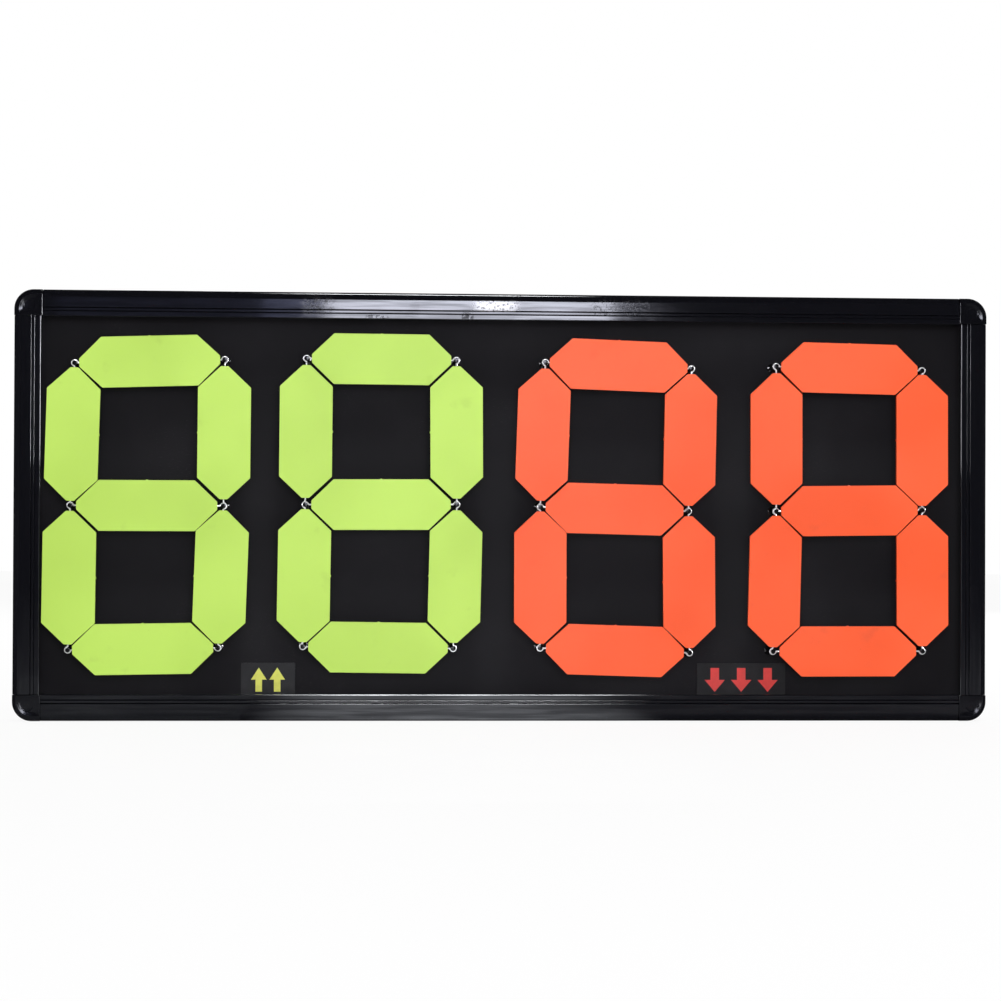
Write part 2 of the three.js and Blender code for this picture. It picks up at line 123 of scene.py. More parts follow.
# Lamps: name, place, size of the lit rectangle, and the studio setting that holds its power
LAMPS = (
    ("key_lamp", (-0.05, -3, 0.45), (1.2, 0.9), "key_power"),
    ("back_lamp", (0.9, 2.4, 1.2), (1.4, 0.9), "back_power"),
)
LAMP_COLOUR = (1, 0.985, 1)
FLOOR_SIDE = 14
FLOOR_GLOW = 0.9  # share of plain white in what the camera sees of the floor: at 1 the board's shadow is lost

# Marks on the front of the top rail: their paleness is a painted highlight where the lamp's glare falls,
# their dullness is wear in the coat. Each gives its middle and reach along the rail, distance of the middle
# below its top and reach, the levels of the noise that breaks the mark up, and how pale (painted highlight)
# and how dull it is
TOP_RAIL_GLARE_AND_WEAR = (
    ((-0.0086, 0.021), (0.0102, 0.005), (0.36, 0.5), 0.9, 0.1),
    ((-0.031, 0.006), (0.0188, 0.0045), (0.42, 0.5), 0, 0.5),
    ((-0.103, 0.011), (0.0196, 0.002), (0.45, 0.52), 0, 0.5),
    ((-0.15, 0.016), (0.0105, 0.009), (0.48, 0.56), 0.02, 0.3),
    ((0.09, 0.03), (0.0105, 0.009), (0.52, 0.6), 0.02, 0.3),
)

ACROSS = Vector((1, 0, 0))
BACKWARD = Vector((0, 1, 0))
UP = Vector((0, 0, 1))


def length(name, description, default):
    return FloatProperty(
        name=name, description=description, default=default, min=0, unit="LENGTH", precision=5
    )


def angle(name, description, degrees):
    return FloatProperty(name=name, description=description, default=math.radians(degrees), subtype="ANGLE")


def power(name, description, default):
    return FloatProperty(name=name, description=description, default=default, min=0, unit="POWER")


def pixels(name, description, default):
    return FloatProperty(name=name, description=description, default=default, subtype="PIXEL")


def share(name, description, default):
    return FloatProperty(name=name, description=description, default=default, min=0, max=1, subtype="FACTOR")


def colour(name, description, default):
    return FloatVectorProperty(
        name=name, description=description, default=default, size=3, min=0, max=1, subtype="COLOR"
    )


class RailSizes(PropertyGroup):
    """Section of the frame rails, measured inwards from the outer edge and back from the front."""

    edge_round: length("Edge round", "Width of the rounded outer edge", 0.0065)
    edge_round_depth: length("Edge round depth", "Depth of the rounded outer edge", 0.006)
    crown: length("Crown", "Distance from the outer edge to the first groove", 0.0139)
    groove: length("Groove", "Width of each groove", 0.0008)
    groove_depth: length("Groove depth", "Depth of each groove below the crown", 0.0012)
    bead: length("Bead", "Width of the bead between the grooves", 0.0018)
    bead_fall: length("Bead fall", "How far the bead's face lies behind the front", 0.0003)
    lip_fall: length("Lip fall", "How far the lip's face lies behind the front", 0.0007)
    lip_reach: length("Lip reach", "Distance from the outer edge to the lip's edge", 0.0213)
    lip_thickness: length("Lip thickness", "Thickness of the lip", 0.0018)
    lip_round: length("Lip round", "Radius of the lip's edge", 0.0008)
    corner_round: length("Corner round", "Radius of the small corners beside the grooves", 0.0002)
    wall: length("Wall", "Wall round the hollow", 0.0016)
    flank_inset: length("Flank inset", "Distance from the outer edge to the tray's side wall", 0.0159)
    slot_depth: length("Slot depth", "Depth of the slot that holds the panel", 0.006)
    rear_lip_reach: length("Rear lip reach", "Distance from the outer edge to the rear lip's edge", 0.0199)
    rear_lip_thickness: length("Rear lip thickness", "Thickness of the rear lip", 0.002)
    back_chamfer: length("Back chamfer", "Chamfer on the outer rear edge", 0.001)
    seat_gap: length("Seat gap", "Gap between pieces that touch", 0.0003)


class CapSizes(PropertyGroup):
    """Corner caps."""

    width: length("Width", "Width of a cap", 0.0224)
    height: length("Height", "Height of a cap", 0.0208)
    corner_radius: length("Corner radius", "Radius of the outer corner", 0.0155)
    edge_round: length("Edge round", "Radius of the front edge", 0.004)
    seam_round: length("Seam round", "Radius of the edges beside the rails", 0.0005)
    rim: length("Rim", "Width of the flat rim round the cap's face", 0.0002)
    pocket_slope: length("Pocket slope", "Width of the slope from the rim into the face", 0.0036)
    pocket_depth: length("Pocket depth", "How far the face lies below its rim", 0.00058)
    dish_inset: length("Dish inset", "Distance from the outer edges to the dish's middle", 0.0123)
    dish_radius: length("Dish radius", "Radius of the dish in the cap's face", 0.0045)
    dish_depth: length("Dish depth", "Depth of the dish in the cap's face", 0.0002)
    tongue_length: length("Tongue length", "Length of the tongues that plug into the rails", 0.014)
    tongue_wall: length("Tongue wall", "Wall of the tongues", 0.0018)


class PegSizes(PropertyGroup):
    """Pegs that carry the wires, and the screws that hold them from behind."""

    neck_radius: length("Neck radius", "Radius of the neck that the wires go round", 0.0012)
    shank_radius: length("Shank radius", "Radius of the shank", 0.0021)
    foot_radius: length("Foot radius", "Radius of the foot on the panel", 0.0036)
    foot_height: length("Foot height", "Height of the foot", 0.0012)
    head_radius: length("Head radius", "Radius of the head", 0.0019)
    head_height: length("Head height", "Height of the head", 0.0006)
    screw_radius: length("Screw radius", "Radius of the screw's head behind the panel", 0.0031)
    screw_height: length("Screw height", "Height of the screw's head", 0.0017)
    turn_steps: IntProperty(name="Turn steps", description="Steps round a turned piece", default=32, min=8)


class WireSizes(PropertyGroup):
    """Wires that the flaps turn on."""

    diameter: length("Diameter", "Diameter of the wire", 0.0014)
    eye_turn: angle("Eye turn", "How far an end eye goes round", 190)
    bend_step: angle("Bend step", "Angle between the points of a bend", 18)


class FlapSizes(PropertyGroup):
    """Flaps: the level ones are a little longer and narrower than the upright ones."""

    thickness: length("Thickness", "Thickness of a flap", 0.0042)
    face_edge_round: length("Edge round", "Radius of the edges round both faces", 0.0005)
    corner_radius: length("Corner radius", "Radius of the corners", 0.0012)
    tunnel_radius: length("Tunnel radius", "Radius of the tunnel that the wire runs through", 0.00105)
    level_length: length("Level length", "Length of a level flap", 0.1106)
    level_straight: length("Level straight", "Length of a level flap's straight edge", 0.0754)
    level_width: length("Level width", "Width of a level flap", 0.0402)
    level_tip: length("Level tip", "Width of a level flap's end", 0.0065)
    upright_length: length("Upright length", "Length of an upright flap", 0.1054)
    upright_straight: length("Upright straight", "Length of an upright flap's straight edge", 0.0716)
    upright_width: length("Upright width", "Width of an upright flap", 0.0418)
    upright_tip: length("Upright tip", "Width of an upright flap's end", 0.006)
    colour_depth: length("Colour depth", "Thickness of the coloured half, from the face", 0.0029)
    gate_width: length("Gate width", "Width of the moulding mark on one long edge", 0.0022)
    gate_height: length("Gate height", "Height of the moulding mark", 0.0005)


class LabelSizes(PropertyGroup):
    """Film labels and the arrows printed on them."""

    corner_radius: length("Corner radius", "Radius of the film's corners", 0.0012)
    print_lift: length("Print lift", "How far the print stands above the film", 0.00005)
    print_foot: length("Print foot", "Distance from the film's lower edge to the arrows", 0.0024)
    print_height: length("Print height", "Height of the arrows", 0.0193)
    green_arrow_width: length("Left arrow width", "Width of each arrow on the left label", 0.0125)
    green_arrow_pitch: length("Left arrow pitch", "Distance between arrows on the left label", 0.0147)
    orange_arrow_width: length("Right arrow width", "Width of each arrow on the right label", 0.0165)
    orange_arrow_pitch: length("Right arrow pitch", "Distance between arrows on the right label", 0.0216)
    stem_share: share("Stem share", "Width of an arrow's stem as a share of its width", 0.42)
    head_share: share("Head share", "Height of an arrow's head as a share of its height", 0.5)


class BoardColours(PropertyGroup):
    """Colours of the board."""

    rail: colour("Rail", "Frame rails", (0.0042, 0.0043, 0.0062))
    cap: colour("Cap", "Corner caps", (0.0038, 0.0038, 0.0056))
    panel: colour("Panel", "Panel behind the flaps", (0.0096, 0.009, 0.0107))
    peg: colour("Peg", "Pegs", (0.004, 0.004, 0.0042))
    wire: colour("Wire", "Wires", (0.86, 0.86, 0.87))
    screw: colour("Screw", "Screws behind the panel", (0.5, 0.5, 0.52))
    green: colour("Green", "Face of the green flaps", (0.48, 0.73, 0.096))
    orange: colour("Orange", "Face of the orange flaps", (0.99, 0.098, 0.012))
    flap_back: colour("Flap back", "Back of every flap", (0.0095, 0.0095, 0.0102))
    film: colour("Film", "Film labels", (0.0104, 0.01, 0.0108))
    yellow_print: colour("Yellow print", "Arrows on the left label", (0.72, 0.73, 0.1))
    red_print: colour("Red print", "Arrows on the right label", (0.72, 0.035, 0.028))


class StudioSettings(PropertyGroup):
    """Camera and light."""

    yaw: angle("Yaw", "How far the camera looks to the right", 3.546)
    pitch: angle("Pitch", "How far the camera looks up", 0.535)
    roll: angle("Roll", "How far the camera leans", 0.25)
    distance: length("Distance", "Distance from the camera to the board's middle", 2)
    focal_pixels: pixels("Focal length", "Distance from the lens to the image", 2491.2)
    shift_right: pixels("Shift right", "How far right of the image's middle the lens looks", 4)
    shift_down: pixels("Shift down", "How far below the image's middle the lens looks", 7)
    ambient: FloatProperty(name="Ambient", description="Light from all round", default=0.62, min=0)
    key_power: power("Key power", "Power of the lamp by the camera", 33.5)
    back_power: power("Back power", "Power of the lamp behind", 45)


def board_settings():
    return bpy.context.scene.board


class BoardSettings(PropertyGroup):
    """Every size and colour of the board."""

    rail: PointerProperty(type=RailSizes)
    cap: PointerProperty(type=CapSizes)
    peg: PointerProperty(type=PegSizes)
    wire: PointerProperty(type=WireSizes)
    flap: PointerProperty(type=FlapSizes)
    label: PointerProperty(type=LabelSizes)
    colours: PointerProperty(type=BoardColours)
    studio: PointerProperty(type=StudioSettings)


# Shader maths


class Number:
    """A socket's number. Python's operators add Math nodes to it."""

    def __init__(self, nodes, socket):
        self.nodes = nodes
        self.socket = socket

    def maths(self, operation, first, second):
        node = self.nodes.node("ShaderNodeMath", {"operation": operation}, {0: first, 1: second})
        return Number(self.nodes, node.outputs[0])

    def __add__(self, other):
        return self.maths("ADD", self, other)

    def __sub__(self, other):
        return self.maths("SUBTRACT", self, other)

    def __rsub__(self, other):
        return self.maths("SUBTRACT", other, self)

    def __mul__(self, other):
        return self.maths("MULTIPLY", self, other)

    __radd__ = __add__
    __rmul__ = __mul__


class Nodes:
    """The nodes of a material or of the world."""

    def __init__(self, owner):
        owner.use_nodes = True
        self.tree = owner.node_tree

    def node(self, kind, settings, sockets):
        """Adds a node, then its settings, then the values or links of its sockets."""
        node = self.tree.nodes.new(kind)
        for setting, value in settings.items():
            setattr(node, setting, value)
        for key, value in sockets.items():
            self.feed(node.inputs[key], value)
        return node

    def feed(self, socket, value):
        """Links a socket to another one's output, or sets its value."""
        if isinstance(value, Number):
            value = value.socket
        if isinstance(value, bpy.types.NodeSocket):
            self.tree.links.new(value, socket)
        elif socket.type == "RGBA" and len(value) == 3:
            socket.default_value = (*value, 1)
        else:
            socket.default_value = value

    def seen_or_mirrored(self):
        """1 for rays from the camera and for those that metal, gloss or glass sends on."""
        path = self.node("ShaderNodeLightPath", {}, {})
        kinds = ("Is Camera Ray", "Is Glossy Ray", "Is Transmission Ray")
        seen, mirrored, through = (Number(self, path.outputs[kind]) for kind in kinds)
        return seen.maths("MINIMUM", seen + mirrored + through, 1)


class Finish(Nodes):
    """A material, its main shader, and the nodes that vary it."""

    def __init__(self, name):
        self.material = bpy.data.materials.new(name)
        super().__init__(self.material)
        self.shader = self.tree.nodes["Principled BSDF"]

    def set(self, **sockets):
        """Sets or links the main shader's sockets, with underscores for spaces. Gives the material."""
        for key, value in sockets.items():
            self.feed(self.shader.inputs[key.replace("_", " ")], value)
        return self.material

    def place(self, stretch=(1, 1, 1)):
        where = self.node("ShaderNodeTexCoord", {}, {}).outputs["Object"]
        return self.node("ShaderNodeMapping", {}, {"Vector": where, "Scale": stretch}).outputs[0]

    def noise(self, scale, detail, stretch=(1, 1, 1)):
        sockets = {"Vector": self.place(stretch), "Scale": scale, "Detail": detail}
        return Number(self, self.node("ShaderNodeTexNoise", {}, sockets).outputs[0])

    def between(self, number, low, high):
        """A smooth step of a number, from 0 at low to 1 at high."""
        node = self.node(
            "ShaderNodeMapRange",
            {"interpolation_type": "SMOOTHSTEP"},
            {"Value": number, "From Min": low, "From Max": high},
        )
        return Number(self, node.outputs[0])

    def patches(self, scale, detail, low, high, stretch=(1, 1, 1)):
        """Soft-edged patches of noise: low and high set how much they cover and how soft they are."""
        return self.between(self.noise(scale, detail, stretch), low, high)

    def mixed(self, amount, first, second):
        """A colour between two others, which the Mix node takes at sockets 6 and 7."""
        node = self.node("ShaderNodeMix", {"data_type": "RGBA"}, {0: amount, 6: first, 7: second})
        return node.outputs[2]

    def axis(self, letter):
        """A coordinate of the point on the surface."""
        node = self.node("ShaderNodeSeparateXYZ", {}, {0: self.place()})
        return Number(self, node.outputs[letter])

    def bumps(self, height, distance):
        return self.node("ShaderNodeBump", {}, {"Height": height, "Distance": distance}).outputs[0]


def scaled(values, factor):
    """A colour or a stretch times a factor."""
    return tuple(factor * value for value in values)


def near(finish, letter, middle, reach):
    """1 at a place along an axis and 0 beyond its reach."""
    offset = (finish.axis(letter) - middle) * (1 / reach)
    return finish.between(1 - offset * offset, 0, 1)


def glossy_black(name, shade, stretch, marks=()):
    """Gloss black extruded plastic: fine waves along its length, dull scuffs, faint dust, wear, a painted
    highlight.
    """
    finish = Finish(name)
    waves = finish.noise(55, 2, stretch)
    drawn = finish.noise(900, 2, stretch)
    scuffs = finish.patches(38, 6, 0.56, 0.74)
    dust = finish.patches(2600, 2, 0.71, 0.8) * scuffs
    streaks = finish.patches(620, 3, 0.36, 0.64, scaled(stretch, 0.6))
    dust_and_glare = dust * 0.1
    dull = scuffs * 0.1
    # A mark's paleness is a painted highlight where the lamp's glare falls on the top rail; its dullness is
    # wear.
    for (across, across_reach), (up, up_reach), (noise_low, noise_high), painted_glare, dullness in marks:
        patch = near(finish, "X", across, across_reach) * near(finish, "Z", cad_high.z - up, up_reach)
        patch = patch * near(finish, "Y", cad_low.y, board_settings().rail.edge_round_depth)
        patch = patch * finish.patches(520, 5, noise_low, noise_high)
        dust_and_glare = dust_and_glare + patch * painted_glare
        dull = dull + patch * dullness
    # The pale colour mixed in here is partly faint dust and partly the painted highlight.
    return finish.set(
        Base_Color=finish.mixed(dust_and_glare, shade, (0.78, 0.78, 0.82)),
        Specular_IOR_Level=0.3,
        Coat_Weight=0.15 + streaks * 0.55,
        Coat_Roughness=0.055,
        Roughness=0.055 + dull,
        Normal=finish.bumps(waves * 0.35 + drawn * 0.05 + dust_and_glare * 0.1, 0.00035),
    )


def moulded_black(name, shade):
    """Moulded gloss plastic with soft ripples."""
    finish = Finish(name)
    ripples = finish.noise(120, 3)
    return finish.set(
        Base_Color=finish.mixed(finish.patches(2400, 2, 0.7, 0.8), shade, (0.02, 0.02, 0.024)),
        Specular_IOR_Level=0.42,
        Roughness=0.1 + ripples * 0.06,
        Normal=finish.bumps(ripples, 0.00012),
    )


def satin_sheet(name, shade):
    """Satin black plastic sheet: fine grain, cloudy wear, hairline scratches and pale specks."""
    finish = Finish(name)
    clouds = finish.noise(14, 5)
    scratches = finish.patches(300, 1, 0.66, 0.72, (1, 1, 9)) * finish.between(clouds, 0.5, 0.62)
    specks = finish.patches(1500, 2, 0.77, 0.83)
    worn = finish.mixed(finish.between(clouds, 0.4, 0.75) * 0.6, shade, scaled(shade, 1.5))
    return finish.set(
        Base_Color=finish.mixed(scratches * 0.25 + specks * 0.6, worn, (0.06, 0.06, 0.06)),
        Specular_IOR_Level=0.08,
        Roughness=0.5 + clouds * 0.12 - scratches * 0.1,
        Normal=finish.bumps(finish.noise(1900, 2), 0.00004),
    )


def flap_face(name, shade):
    """Bright moulded plastic: a fine grain, slow changes of shade, handling smudges and a few dark specks."""
    finish = Finish(name)
    slow = finish.noise(9, 2)
    smudge = finish.patches(46, 6, 0.63, 0.78)
    specks = finish.patches(700, 2, 0.77, 0.81)
    lighter = tuple(min(1, part + 0.012) for part in scaled(shade, 1.05))
    darker = scaled(shade, 0.93)
    base = finish.mixed(finish.between(slow, 0.3, 0.7), darker, lighter)
    marked = finish.mixed(smudge * 0.1 + specks * 0.45, base, scaled(shade, 0.25))
    return finish.set(
        Base_Color=marked,
        Specular_IOR_Level=0.3,
        Roughness=0.34 + slow * 0.06 + smudge * 0.1,
        Normal=finish.bumps(finish.noise(2300, 2), 0.00003),
    )


def flap_back(name, shade):
    """Black side of a flap: satin, with a fine grain."""
    finish = Finish(name)
    rubs = finish.patches(60, 5, 0.55, 0.75)
    return finish.set(
        Base_Color=finish.mixed(rubs * 0.3, shade, (0.02, 0.02, 0.02)),
        Specular_IOR_Level=0.1,
        Roughness=0.45 + rubs * 0.1,
        Normal=finish.bumps(finish.noise(2300, 2), 0.00003),
    )


def metal(name, shade, roughness, bareness=1.0):
    """Bright drawn metal with faint marks, or a pale plating over it where it's less bare."""
    finish = Finish(name)
    marks = finish.noise(1200, 3)
    return finish.set(
        Base_Color=finish.mixed(finish.between(marks, 0.55, 0.8), shade, scaled(shade, 0.6)),
        Metallic=bareness,
        Roughness=roughness + marks * 0.12,
    )


def clear_film(name, shade):
    """Clear film laid over the panel, with soft ripples and a dusty edge."""
    finish = Finish(name)
    ripples = finish.noise(90, 4)
    return finish.set(
        Base_Color=finish.mixed(finish.between(ripples, 0.45, 0.7), shade, scaled(shade, 1.35)),
        Specular_IOR_Level=0.3,
        Roughness=0.3 + ripples * 0.12,
        Normal=finish.bumps(ripples, 0.0002),
    )


def ink(name, shade):
    """Printed ink, a little uneven."""
    finish = Finish(name)
    uneven = finish.patches(260, 4, 0.4, 0.7)
    return finish.set(
        Base_Color=finish.mixed(uneven * 0.5, shade, scaled(shade, 0.82)),
        Roughness=0.35 + uneven * 0.1,
    )


# Modelling


def lay_down_tools():
    """Leaves every object closed and unselected, so that the next primitive is worked on alone."""
    if bpy.context.mode != "OBJECT":
        bpy.ops.object.mode_set(mode="OBJECT")
    bpy.ops.object.select_all(action="DESELECT")


def take(piece):
    """Makes a piece the only one selected."""
    lay_down_tools()
    piece.select_set(True)
    bpy.context.view_layer.objects.active = piece
    return piece


def pick(kind, test):
    """Selects the faces, edges or corners that pass a test, and nothing else."""
    bpy.ops.mesh.select_mode(type=kind)
    bpy.ops.mesh.select_all(action="DESELECT")
    mesh = bmesh.from_edit_mesh(bpy.context.object.data)
    for item in {"FACE": mesh.faces, "EDGE": mesh.edges, "VERT": mesh.verts}[kind]:
        if test(item):
            item.select_set(True)
    bmesh.update_edit_mesh(bpy.context.object.data)


def draw(name, points):
    """Draws a line by extruding one corner from point to point. The piece stays open for editing."""
    lay_down_tools()
    bpy.ops.mesh.primitive_plane_add(size=SPECK, location=points[0])
    piece = bpy.context.object
    piece.name = name
    bpy.ops.object.mode_set(mode="EDIT")
    bpy.ops.mesh.select_mode(type="VERT")
    bpy.ops.mesh.merge(type="CENTER")
    for before, after in zip(points, points[1:]):
        bpy.ops.mesh.extrude_region_move(TRANSFORM_OT_translate={"value": after - before})
    bpy.ops.mesh.select_all(action="SELECT")
    return piece


def face_outwards():
    bpy.ops.mesh.select_all(action="SELECT")
    bpy.ops.mesh.normals_make_consistent(inside=False)


def slab(name, outline, along):
    """Fills a drawn outline and extrudes it into a solid, which stays open for editing."""
    piece = draw(name, outline)
    bpy.ops.mesh.edge_face_add()
    bpy.ops.mesh.extrude_region_move(TRANSFORM_OT_translate={"value": along})
    face_outwards()
    return piece


def block(name, low, high):
    """A box between two corners, to be shaped further."""
    lay_down_tools()
    low, high = Vector(low), Vector(high)
    bpy.ops.mesh.primitive_cube_add(size=1, location=(low + high) / 2, scale=high - low)
    piece = settle(bpy.context.object)
    piece.name = name
    return piece


def turned(name, profile, steps):
    """Spins a profile of (radius, height) about Z into a closed solid, then lays its axis towards -Y."""
    piece = draw(name, [Vector((radius, 0, height)) for radius, height in profile])
    bpy.ops.mesh.spin(steps=steps, angle=2 * math.pi, center=(0, 0, 0), axis=UP)
    bpy.ops.mesh.select_all(action="SELECT")
    bpy.ops.mesh.remove_doubles(threshold=WELD)
    face_outwards()
    settle(piece)
    piece.data.transform(Matrix.Rotation(math.pi / 2, 4, "X"))
    return piece


def settle(piece):
    """Closes a piece and puts its place into its mesh."""
    take(piece)
    bpy.ops.object.transform_apply(location=True, rotation=True, scale=True)
    return piece


def smooth(piece, sharp_from):
    """Shades a piece smooth, apart from edges that turn by more than so many degrees."""
    take(piece)
    bpy.ops.object.shade_smooth_by_angle(angle=math.radians(sharp_from))
    return piece


def even_shading(piece, sharp_from):
    """Smooths curves, and keeps flat faces flat beside rounded edges."""
    smooth(piece, sharp_from)
    modifier = piece.modifiers.new("even", "WEIGHTED_NORMAL")
    modifier.keep_sharp = True
    bpy.ops.object.modifier_apply(modifier=modifier.name)
    return piece


def cut(piece, tool):
    """Cuts one solid out of another."""
    take(piece)
    modifier = piece.modifiers.new("cut", "BOOLEAN")
    modifier.operation = "DIFFERENCE"
    modifier.solver = "EXACT"
    modifier.object = tool
    bpy.ops.object.modifier_apply(modifier=modifier.name)
    bpy.data.objects.remove(tool)
    return piece


def join(piece, others):
    """Joins other pieces into one."""
    take(piece)
    for other in others:
        other.select_set(True)
    bpy.ops.object.join()
    return piece


def copied(piece, name, matrix):
    """A copy of a piece with a mesh of its own, laid by a matrix and facing outwards."""
    twin = piece.copy()
    twin.data = piece.data.copy()
    twin.name = twin.data.name = name
    bpy.context.collection.objects.link(twin)
    twin.data.transform(matrix)
    if matrix.determinant() < 0:
        twin.data.flip_normals()
    return twin


def clothe(piece, *materials):
    """Gives a piece its materials in order. All its faces go back to the first one."""
    piece.data.materials.clear()
    for material in materials:
        piece.data.materials.append(material)
    return piece


def hand_over(piece, body, slot, *nodes):
    """Fixes a finished piece to its body, and lets it stand for its node if it has one."""
    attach(piece, body)
    if nodes:
        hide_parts(*nodes)


def arc(middle, radii, start, end, steps):
    """Points on an ellipse between two angles in degrees."""
    points = []
    for step in range(steps + 1):
        turn = math.radians(start + (end - start) * step / steps)
        points.append((middle[0] + radii[0] * math.cos(turn), middle[1] + radii[1] * math.sin(turn)))
    return points


# Frame


def rail_section():
    """Outline of a rail, as distances inwards from its outer edge and levels from front to back."""
    size = board_settings().rail
    front, back = cad_low.y, cad_high.y
    floor = front + size.groove_depth
    bead_start = size.crown + size.groove
    bead_end = bead_start + size.bead
    band_start = bead_end + size.groove
    lip_back = front + size.lip_fall + size.lip_thickness
    slot_floor = size.flank_inset - size.slot_depth
    slot_front = panel_faces()[0] - size.seat_gap
    slot_back = back - size.rear_lip_thickness
    small, large = size.corner_round, size.lip_round

    def corner(across, behind, radius, start, facets=SMALL_FACETS):
        """A quarter circle whose middle lies so far across the rail and behind its front."""
        return arc((across, front + behind), (radius, radius), start, start + 90, facets)

    edge_middle = (size.edge_round, front + size.edge_round_depth)
    return [
        (size.back_chamfer, back),
        (0, back - size.back_chamfer),
        *arc(edge_middle, (size.edge_round, size.edge_round_depth), 180, 270, EDGE_FACETS),
        *corner(size.crown - small, small, small, 270),
        (size.crown + size.groove / 2, floor),
        *corner(bead_start + small, size.bead_fall + small, small, 180),
        *corner(bead_end - small, size.bead_fall + small, small, 270),
        (bead_end + size.groove / 2, floor),
        *corner(band_start + small, size.lip_fall + small, small, 180),
        *corner(size.lip_reach - large, size.lip_fall + large, large, 270, LIP_FACETS),
        (size.lip_reach, lip_back),
        (size.flank_inset, lip_back),
        (size.flank_inset, slot_front),
        (slot_floor, slot_front),
        (slot_floor, slot_back),
        (size.rear_lip_reach, slot_back),
        (size.rear_lip_reach, back),
    ]


def rail_hollow():
    """Outline of the hollow inside a rail, measured as in its section."""
    size = board_settings().rail
    roof = cad_low.y + size.groove_depth + size.wall
    slot_front = panel_faces()[0] - size.seat_gap
    back = cad_high.y - size.wall
    slot_floor = size.flank_inset - size.slot_depth
    return [
        (size.wall, back),
        (slot_floor - size.wall, back),
        (slot_floor - size.wall, slot_front - size.wall),
        (size.flank_inset - size.wall, slot_front - size.wall),
        (size.flank_inset - size.wall, roof),
        (size.edge_round, roof),
        (size.wall, cad_low.y + size.edge_round_depth),
    ]


class BOARD_OT_rails(Operator):
    """Extrude the four ridged rails of the frame"""

    bl_idname = "board.rails"
    bl_label = "Frame rails"

    def execute(self, context):
        colours = board_settings().colours
        # The top rail's gloss carries the painted highlight as well as marks of wear.
        top_gloss = glossy_black("rail_gloss_top", colours.rail, (0.05, 1, 1), TOP_RAIL_GLARE_AND_WEAR)
        level_gloss = glossy_black("rail_gloss_level", colours.rail, (0.05, 1, 1))
        upright_gloss = glossy_black("rail_gloss_upright", colours.rail, (1, 1, 0.05))
        width, height = cad_high.x - cad_low.x, cad_high.z
        turns = {
            "bottom_rail": (0, Vector((0, 0, 0)), level_gloss),
            "top_rail": (180, Vector((0, 0, height)), top_gloss),
            "left_rail": (90, Vector((-width / 2, 0, height / 2)), upright_gloss),
            "right_rail": (-90, Vector((width / 2, 0, height / 2)), upright_gloss),
        }
        for node, (degrees, place, gloss) in turns.items():
            low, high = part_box(node)
            run = high.x - low.x if degrees % 180 == 0 else high.z - low.z
            outline = [Vector((-run / 2, depth, inset)) for inset, depth in rail_section()]
            rail = slab(f"{node}_profile", outline, ACROSS * run)
            pick("FACE", lambda face: face.normal.x > SQUARE)  # the end that the extrusion made
            bpy.ops.mesh.bevel(offset=board_settings().rail.seat_gap, segments=3, affect="EDGES")
            settle(rail)
            bore = [Vector((-run, depth, inset)) for inset, depth in rail_hollow()]
            cut(rail, settle(slab(f"{node}_hollow", bore, ACROSS * 2 * run)))
            rail.data.transform(Matrix.Translation(place) @ Matrix.Rotation(math.radians(degrees), 4, "Y"))
            even_shading(rail, sharp_from=32)
            clothe(rail, gloss)
            hand_over(rail, "board", "frame_gloss", node)
        return {"FINISHED"}


def cap_block():
    """The bottom left cap: a block with one great round corner, a rounded front edge and a dished face."""
    size, rail = board_settings().cap, board_settings().rail
    left, front, back = cad_low.x, cad_low.y, cad_high.y
    cap = block("cap_block", (left, front, 0), (left + size.width, back, size.height))
    bpy.ops.object.mode_set(mode="EDIT")
    reach = size.seam_round

    def outer_corner(edge):
        return all(corner.co.x < left + reach and corner.co.z < reach for corner in edge.verts)

    def seam_side(corner):
        return corner.co.x > left + size.width - reach or corner.co.z > size.height - reach

    def outer_rim(edge, level):
        on_face = all(abs(corner.co.y - level) < reach for corner in edge.verts)
        return on_face and not all(seam_side(corner) for corner in edge.verts)

    pick("EDGE", outer_corner)
    bpy.ops.mesh.bevel(offset=size.corner_radius, offset_type="OFFSET", segments=20, affect="EDGES")
    pick("EDGE", lambda edge: outer_rim(edge, front))
    bpy.ops.mesh.bevel(offset=size.edge_round, offset_type="OFFSET", segments=8, affect="EDGES")
    pick("EDGE", lambda edge: outer_rim(edge, back))
    bpy.ops.mesh.bevel(offset=rail.back_chamfer, offset_type="OFFSET", segments=2, affect="EDGES")
    pick("FACE", lambda face: max(face.normal.x, face.normal.z) > SQUARE)
    bpy.ops.mesh.bevel(offset=reach, segments=4, affect="EDGES")
    pick("FACE", lambda face: face.normal.y < -SQUARE and face.calc_area() > size.edge_round**2)
    bpy.ops.mesh.inset(thickness=size.rim, depth=0)
    for fall in POCKET_STEPS:
        bpy.ops.mesh.inset(thickness=size.pocket_slope / len(POCKET_STEPS), depth=-fall * size.pocket_depth)
    profile = [(across * size.dish_radius, depth * size.dish_depth) for across, depth in DISH_PROFILE]
    dish = turned("cap_dish", profile, board_settings().peg.turn_steps * 2)
    middle = (left + size.dish_inset, front + size.pocket_depth, size.dish_inset)
    dish.data.transform(Matrix.Translation(middle))
    cut(cap, dish)
    panel_front, panel_back = panel_faces()
    corner = rail.flank_inset - rail.slot_depth
    low = Vector((left + corner, panel_front - rail.seat_gap, corner))
    high = Vector((left + corner + size.width, panel_back + rail.seat_gap, corner + size.width))
    return cut(cap, block("panel_corner", low, high))


